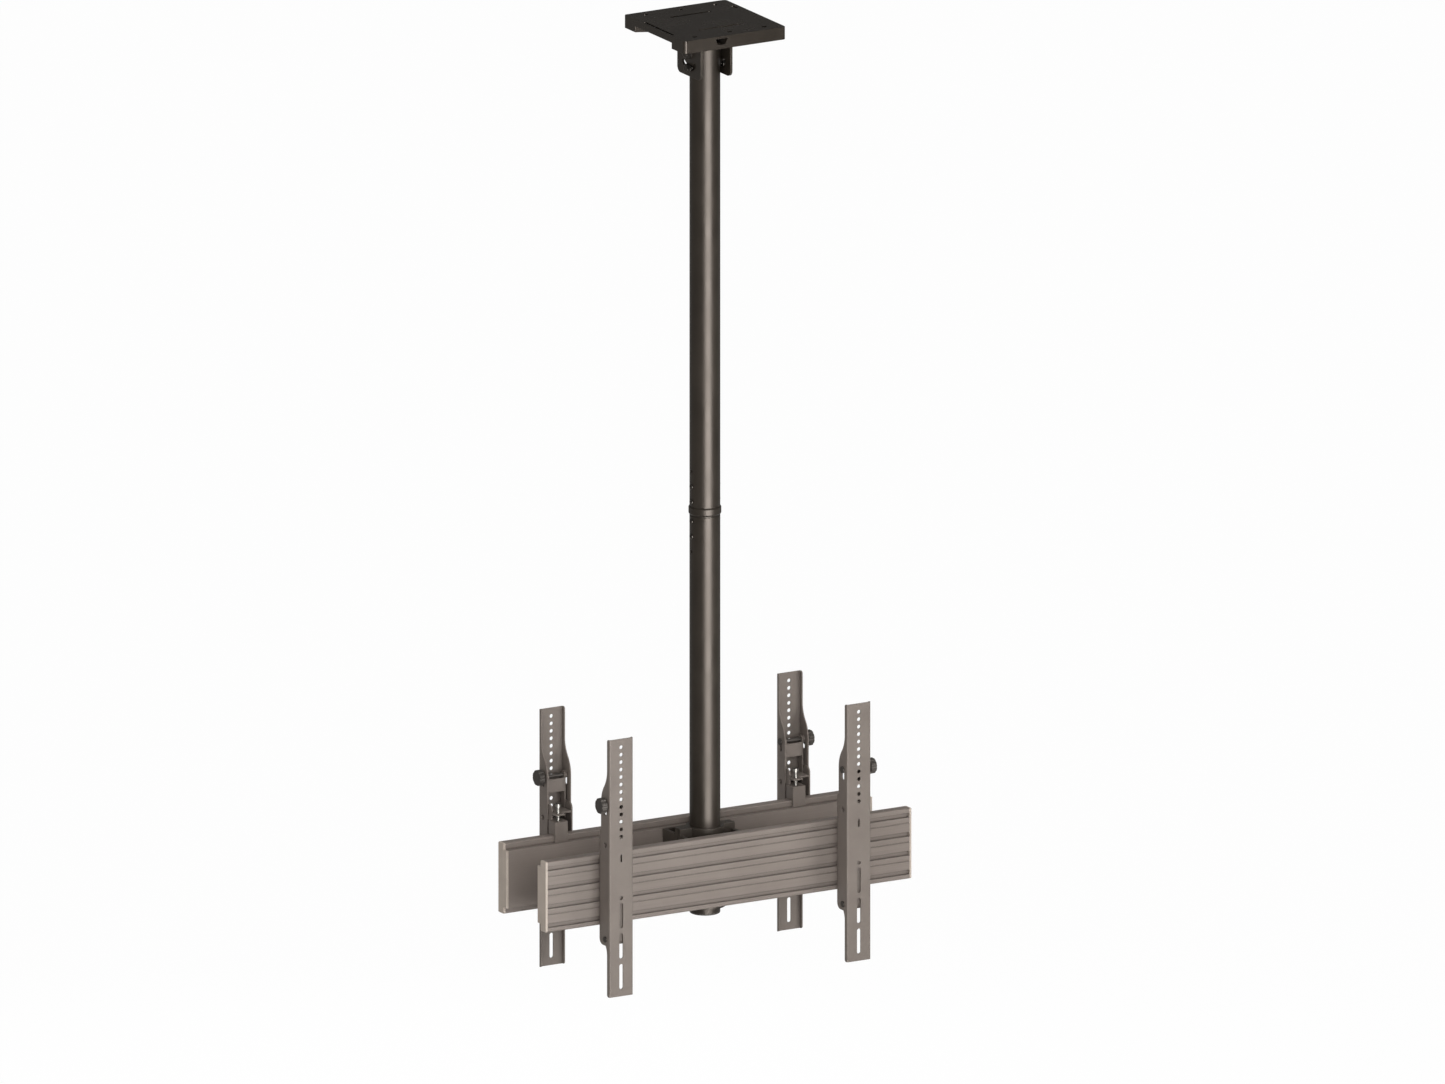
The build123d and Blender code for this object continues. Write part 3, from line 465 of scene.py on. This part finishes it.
# which finish each piece of the mount wears
pieceFinish = {
    "ceiling_plate": "plate_coat", "tilt_bracket": "black_coat",
    "pivot_bolt": "black_steel", "pivot_nut_and_washers": "black_steel",
    "lock_bolt": "black_steel", "lock_nut_and_washers": "black_steel",
    "upper_pole": "black_coat", "joint_sleeve": "black_coat", "joint_screws": "black_steel",
    "lower_pole": "black_coat", "pole_end_ring": "black_plastic",
    "support_collar": "black_coat", "collar_screw": "black_steel",
    "rear_clamp_half": "black_aluminium", "front_clamp_half": "black_aluminium",
    "clamp_bolts": "black_steel", "clamp_nuts": "black_steel", "rail_screws": "black_steel",
    "rear_rail": "coated_aluminium", "front_rail": "coated_aluminium",
}
armFinish = {
    "end_cap": "grey_plastic", "screen_strip": "grey_coat", "hook_bracket": "grey_coat",
    "rail_saddle": "grey_coat", "levelling_screw": "zinc_steel", "tilt_stay": "grey_coat",
    "tilt_knob": "black_plastic", "hinge_pins": "black_steel",
}
for arm in armNames:
    for piece, finish in armFinish.items():
        pieceFinish[arm + "_" + piece] = finish
for nodeName, finish in pieceFinish.items():
    mesh = nodes[nodeName].data
    mesh.materials.clear()
    mesh.materials.append(finishes[finish])

# the levelling screws: the same zinc with a thread under the head and painted shade in its grooves, each
# about its own axis
# levels are from the screw's top, and the lower one lies past every tip
levelThread = {
    "pitch": 0.001, "lower": -1.0, "underHead": 0.0054,
    "depth": 0.55, "grooveShadeColour": (0.09, 0.084, 0.076),
}
for arm in armNames:
    node = nodes[arm + "_levelling_screw"]
    low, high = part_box(node.name)
    middle = ((low[0] + high[0]) / 2, (low[1] + high[1]) / 2, high[2])
    thread = {"Axis": middle, "Pitch": levelThread["pitch"],
              "Lower": levelThread["lower"], "Upper": -levelThread["underHead"]}
    threadSet = dict(zincSteelSet, thread=thread, threadDepth=levelThread["depth"],
                     grooveShadeColour=levelThread["grooveShadeColour"])
    node.data.materials[0] = makeFinish("levelScrew_" + arm, threadSet)
print("finishes given to", len(pieceFinish), "pieces")


# small pieces in mesh code, each riding on the body that carries it
def addPiece(name, points, faces, body, finish):
    mesh = bpy.data.meshes.new(name)
    mesh.from_pydata(points, [], faces)
    shape = bmesh.new()
    shape.from_mesh(mesh)
    bmesh.ops.recalc_face_normals(shape, faces=shape.faces)
    shape.to_mesh(mesh)
    shape.free()
    mesh.polygons.foreach_set("use_smooth", [True] * len(mesh.polygons))
    mesh.materials.append(finishes[finish])
    piece = bpy.data.objects.new(name, mesh)
    scene.collection.objects.link(piece)
    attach(piece, body)


# closed rows of points, skinned one to the next: capped at both ends, or the last joined to the first
def skinRows(rows, capped=True):
    points = [point for row in rows for point in row]
    count = len(rows[0])
    faces = []
    for r in range(len(rows) - 1 if capped else len(rows)):
        n = (r + 1) % len(rows)
        for c in range(count):
            d = (c + 1) % count
            faces.append((r * count + c, r * count + d, n * count + d, n * count + c))
    if capped:
        faces.append(tuple(range(count)))
        faces.append(tuple(range((len(rows) - 1) * count, len(rows) * count)))
    return points, faces


# weld: rippled beads that join the tilt bracket's web to the underside of the plate
weldSet = {
    "under": -0.003, "sideX": 0.0247, "sideReach": 0.0068, "sideDrop": 0.0036,
    "endY": 0.038, "endReach": 0.0040, "endDrop": 0.0038,
    "sideEndGap": 0.002, "endSideGap": 0.001,
    "ripple": 0.0024, "rippleDepth": 0.13, "lag": 0.0011, "wander": 0.7, "wanderRate": 310.0,
    "step": 0.0004, "arcSteps": 9, "fadeLength": 0.003, "endSize": 0.45, "flatness": 0.18,
    "rootSink": 0.0004, "skinSink": 0.0003,
}


def addWeld(name, start, end, outward, reach, drop, s):
    start, end, outward = Vector(start), Vector(end), Vector(outward)
    along = (end - start).normalized()
    length = (end - start).length
    steps = int(length / s["step"])
    rows = []
    for i in range(steps + 1):
        t = i / steps * length
        fade = min(1.0, t / s["fadeLength"], (length - t) / s["fadeLength"])
        full = s["endSize"] + (1.0 - s["endSize"]) * math.sqrt(fade)
        row = [start + along * t + Vector((0, 0, s["rootSink"]))]
        for k in range(s["arcSteps"]):
            angle = math.pi / 2 * k / (s["arcSteps"] - 1)
            lag = s["lag"] * math.sin(2 * angle)
            wander = s["wander"] * math.sin(t * s["wanderRate"])
            wave = math.sin(2 * math.pi * (t - lag) / s["ripple"] + wander)
            size = full * (1.0 + s["rippleDepth"] * wave * math.sin(2 * angle) ** 0.5)
            flat = 1.0 - s["flatness"] + s["flatness"] * abs(math.cos(2 * angle))
            row.append(start + along * t + outward * (reach * math.cos(angle) * size * flat)
                       + Vector((0, 0, -drop * math.sin(angle) * size * flat + s["skinSink"])))
        rows.append(row)
    points, faces = skinRows(rows)
    addPiece(name, points, faces, "ceiling", "black_coat")


for sign, side in ((-1, "left"), (1, "right")):
    x = sign * weldSet["sideX"]
    y = weldSet["endY"] - weldSet["sideEndGap"]
    addWeld("weld_" + side, (x, -y, weldSet["under"]), (x, y, weldSet["under"]), (sign, 0, 0),
            weldSet["sideReach"], weldSet["sideDrop"], weldSet)
for sign, side in ((-1, "front"), (1, "rear")):
    y = sign * weldSet["endY"]
    x = weldSet["sideX"] - weldSet["endSideGap"]
    addWeld("weld_" + side, (-x, y, weldSet["under"]), (x, y, weldSet["under"]), (0, sign, 0),
            weldSet["endReach"], weldSet["endDrop"], weldSet)
print("weld beads laid")


# bolts: a thread on each end that passes its nut, a crown on each head and a bevelled ring on each nut
# the shapes hold shares of the rise and of the rim, from the rim inwards
boltSet = {
    "ridge": 0.62, "crest": 0.07, "crestFlat": 0.25, "root": 0.985, "turnSteps": 36, "fadeSteps": 9,
    "crown": 0.13, "rim": 0.91, "hexFlat": 0.866, "around": 48, "sink": 0.0002,
    "crownShape": [(0.0, 1.0), (0.55, 0.94), (0.9, 0.82), (1.0, 0.66), (0.8, 0.58), (0.75, 0.2)],
    "ringShape": [(0.0, 1.0), (0.5, 0.95), (0.6, 0.86)],
    "ringInner": 0.35, "ringBore": 1.03, "ringRoot": 1.02,
}
bolts = [
    {"name": "pivot", "body": "ceiling", "centre": (0.0, 0.0, -0.050), "axis": (1, 0, 0), "radius": 0.005,
     "pitch": 0.0015, "nutFace": 0.0378, "tip": 0.0408, "headFace": -0.0378, "corner": 0.0095},
    {"name": "lock", "body": "pole", "centre": (0.0, 0.0, -0.075), "axis": (1, 0, 0), "radius": 0.004,
     "pitch": 0.00125, "nutFace": 0.03655, "tip": 0.03955, "headFace": -0.03655, "corner": 0.0076},
]
clampBoltSet = {"x": {"left": -0.038, "right": 0.038}, "z": {"upper": -1.3705, "lower": -1.4405}}
for side, x in clampBoltSet["x"].items():
    for level, z in clampBoltSet["z"].items():
        bolts.append({"name": "clamp_" + side + "_" + level, "body": "rails", "centre": (x, 0.0, z),
                      "axis": (0, 1, 0), "radius": 0.003, "pitch": 0.001, "nutFace": 0.01265,
                      "tip": 0.01565, "headFace": -0.01265, "corner": 0.0057})


def boltFrame(b):
    along = Vector(b["axis"])
    first = Vector((0, 0, 1))
    return Vector(b["centre"]), along, first, along.cross(first)


def addThread(b, s):
    centre, along, first, second = boltFrame(b)
    turns = (b["tip"] - b["nutFace"]) / b["pitch"] - s["ridge"]
    steps = int(turns * s["turnSteps"])
    rows = []
    for i in range(steps + 1):
        angle = 2 * math.pi * i / s["turnSteps"]
        out = first * math.cos(angle) + second * math.sin(angle)
        fade = min(1.0, i / s["fadeSteps"], (steps - i) / s["fadeSteps"])
        at = b["nutFace"] + b["pitch"] * (angle / (2 * math.pi) + s["ridge"] / 2)
        half = b["pitch"] * s["ridge"] / 2
        crest = b["radius"] * (1 + s["crest"] * fade)
        flat = half * s["crestFlat"]
        root = b["radius"] * s["root"]
        section = [(-half, root), (-flat, crest), (flat, crest), (half, root)]
        rows.append([centre + along * (at + shift) + out * radius for shift, radius in section])
    points, faces = skinRows(rows)
    addPiece("thread_" + b["name"], points, faces, b["body"], "black_steel")


def addLathe(name, b, face, way, profile, s, capped=True):
    centre, along, first, second = boltFrame(b)
    rows = []
    for shift, radius in profile:
        row = []
        for i in range(s["around"]):
            angle = 2 * math.pi * i / s["around"]
            out = first * math.cos(angle) + second * math.sin(angle)
            row.append(centre + along * (face + way * shift) + out * radius)
        rows.append(row)
    points, faces = skinRows(rows, capped)
    addPiece(name, points, faces, b["body"], "black_steel")


for b in bolts:
    addThread(b, boltSet)
    rim = b["corner"] * boltSet["hexFlat"] * boltSet["rim"]
    rise = b["radius"] * boltSet["crown"]
    foot = (-boltSet["sink"], rim)
    crown = [foot] + [(rise * up, rim * out) for up, out in boltSet["crownShape"]]
    addLathe("crown_" + b["name"], b, b["headFace"], -1, crown, boltSet)
    ring = [foot] + [(rise * up, rim * out) for up, out in boltSet["ringShape"]]
    ring.append((rise * boltSet["ringInner"], b["radius"] * boltSet["ringBore"]))
    ring.append((-boltSet["sink"], b["radius"] * boltSet["ringRoot"]))
    addLathe("nutRing_" + b["name"], b, b["nutFace"], 1, ring, boltSet, False)
print("threads, crowns and nut rings added to", len(bolts), "bolts")


# floor, air and lamps
stageSet = {
    "floorLevel": -2.45,
    "floorSize": 60.0,
    "floorColour": (0.60, 0.60, 0.595, 1.0),
    "floorRough": 0.9,
    "floorSpecular": 0.2,
    "seenWhite": 0.98,         # share of the floor's white that doesn't depend on the lamps
    "mirroredWhite": 0.08,     # the same in reflections
    "airStrength": 0.32,
    "airMirrored": 0.085,      # what polished faces find high up
    "airPale": -0.05,          # slope of the ray below which they find white
    "airDark": 0.15,           # and above which they find airMirrored
}
# the sheen box only shows in reflections, as the light stripe down the pole
lamps = [
    {"name": "frontBox", "place": (-0.23, -2.6, -1.25), "aim": (0.0, 0.0, -1.1),
     "size": (1.5, 2.1), "watts": 15.0},
    {"name": "sheenBox", "place": (-0.23, -2.7, -1.35), "aim": (0.0, 0.0, -1.18),
     "size": (2.2, 1.6), "watts": 200.0, "only": "glossy"},
    {"name": "leftBox", "place": (-3.2, -1.0, -0.6), "aim": (0.0, 0.0, -0.8),
     "size": (1.6, 2.0), "watts": 33.0, "only": "diffuse"},
    {"name": "rightBox", "place": (2.3, -1.7, -1.0), "aim": (0.2, 0.0, -1.3),
     "size": (1.2, 2.0), "watts": 58.0, "only": "diffuse"},
    {"name": "fillBox", "place": (-1.0, -2.4, -0.3), "aim": (0.0, 0.0, -1.35),
     "size": (1.4, 1.4), "watts": 34.0, "only": "diffuse"},
    {"name": "backBox", "place": (1.2, 3.0, -0.7), "aim": (0.0, 0.0, -0.9),
     "size": (1.6, 2.0), "watts": 60.0, "only": "diffuse"},
    {"name": "topBox", "place": (0.3, -0.3, 2.4), "aim": (0.0, 0.0, 0.0),
     "size": (2.6, 2.6), "watts": 46.0},
]


def addFloor(s):
    mesh = bpy.data.meshes.new("floor")
    half = s["floorSize"] / 2
    corners = [(-half, -half, 0), (half, -half, 0), (half, half, 0), (-half, half, 0)]
    mesh.from_pydata(corners, [], [(0, 1, 2, 3)])
    floor = bpy.data.objects.new("floor", mesh)
    floor.location.z = s["floorLevel"]
    scene.collection.objects.link(floor)
    material = bpy.data.materials.new("paleFloor")
    material.use_nodes = True
    tree = material.node_tree
    shader = tree.nodes["Principled BSDF"]
    setInputs(shader, {"Base Color": s["floorColour"], "Roughness": s["floorRough"],
                       "Specular IOR Level": s["floorSpecular"]})
    path = newNode(tree, "ShaderNodeLightPath")
    mirrored = math2(tree, "MAXIMUM", path.outputs["Is Glossy Ray"], path.outputs["Is Transmission Ray"])
    share = math2(tree, "MAXIMUM", math2(tree, "MULTIPLY", path.outputs["Is Camera Ray"], s["seenWhite"]),
                  math2(tree, "MULTIPLY", mirrored, s["mirroredWhite"]))
    glow = newNode(tree, "ShaderNodeEmission")
    mix = newNode(tree, "ShaderNodeMixShader")
    tree.links.new(share, mix.inputs[0])
    tree.links.new(shader.outputs[0], mix.inputs[1])
    tree.links.new(glow.outputs[0], mix.inputs[2])
    tree.links.new(mix.outputs[0], tree.nodes["Material Output"].inputs["Surface"])
    mesh.materials.append(material)


# the air is white to the camera, and in reflections it pales towards the floor
def addAir(s):
    world = bpy.data.worlds.new("studioAir")
    world.use_nodes = True
    scene.world = world
    tree = world.node_tree
    air = tree.nodes["Background"]
    setInputs(air, {"Color": (1.0, 1.0, 1.0, 1.0), "Strength": s["airStrength"]})
    white = newNode(tree, "ShaderNodeBackground")
    path = newNode(tree, "ShaderNodeLightPath")
    split = newNode(tree, "ShaderNodeSeparateXYZ")
    tree.links.new(newNode(tree, "ShaderNodeTexCoord").outputs["Generated"], split.inputs["Vector"])
    low = remap(tree, split.outputs["Z"], s["airPale"], s["airDark"], 1.0, s["airMirrored"])
    seen = path.outputs["Is Camera Ray"]
    tree.links.new(math2(tree, "MAXIMUM", low, seen), white.inputs["Strength"])
    mirrored = math2(tree, "MAXIMUM", path.outputs["Is Glossy Ray"], path.outputs["Is Transmission Ray"])
    mix = newNode(tree, "ShaderNodeMixShader")
    tree.links.new(math2(tree, "MAXIMUM", mirrored, seen), mix.inputs[0])
    tree.links.new(air.outputs[0], mix.inputs[1])
    tree.links.new(white.outputs[0], mix.inputs[2])
    tree.links.new(mix.outputs[0], tree.nodes["World Output"].inputs["Surface"])


def addLamp(s):
    data = bpy.data.lights.new(s["name"], "AREA")
    data.shape = "RECTANGLE"
    data.size, data.size_y = s["size"]
    data.energy = s["watts"]
    lamp = bpy.data.objects.new(s["name"], data)
    lamp.location = s["place"]
    lamp.rotation_euler = (Vector(s["aim"]) - Vector(s["place"])).to_track_quat("-Z", "Y").to_euler()
    lamp.visible_camera = False
    lamp.visible_glossy = s.get("only") != "diffuse"
    lamp.visible_diffuse = s.get("only") != "glossy"
    scene.collection.objects.link(lamp)


addFloor(stageSet)
addAir(stageSet)
for lamp in lamps:
    addLamp(lamp)
print("floor, air and", len(lamps), "lamps set")
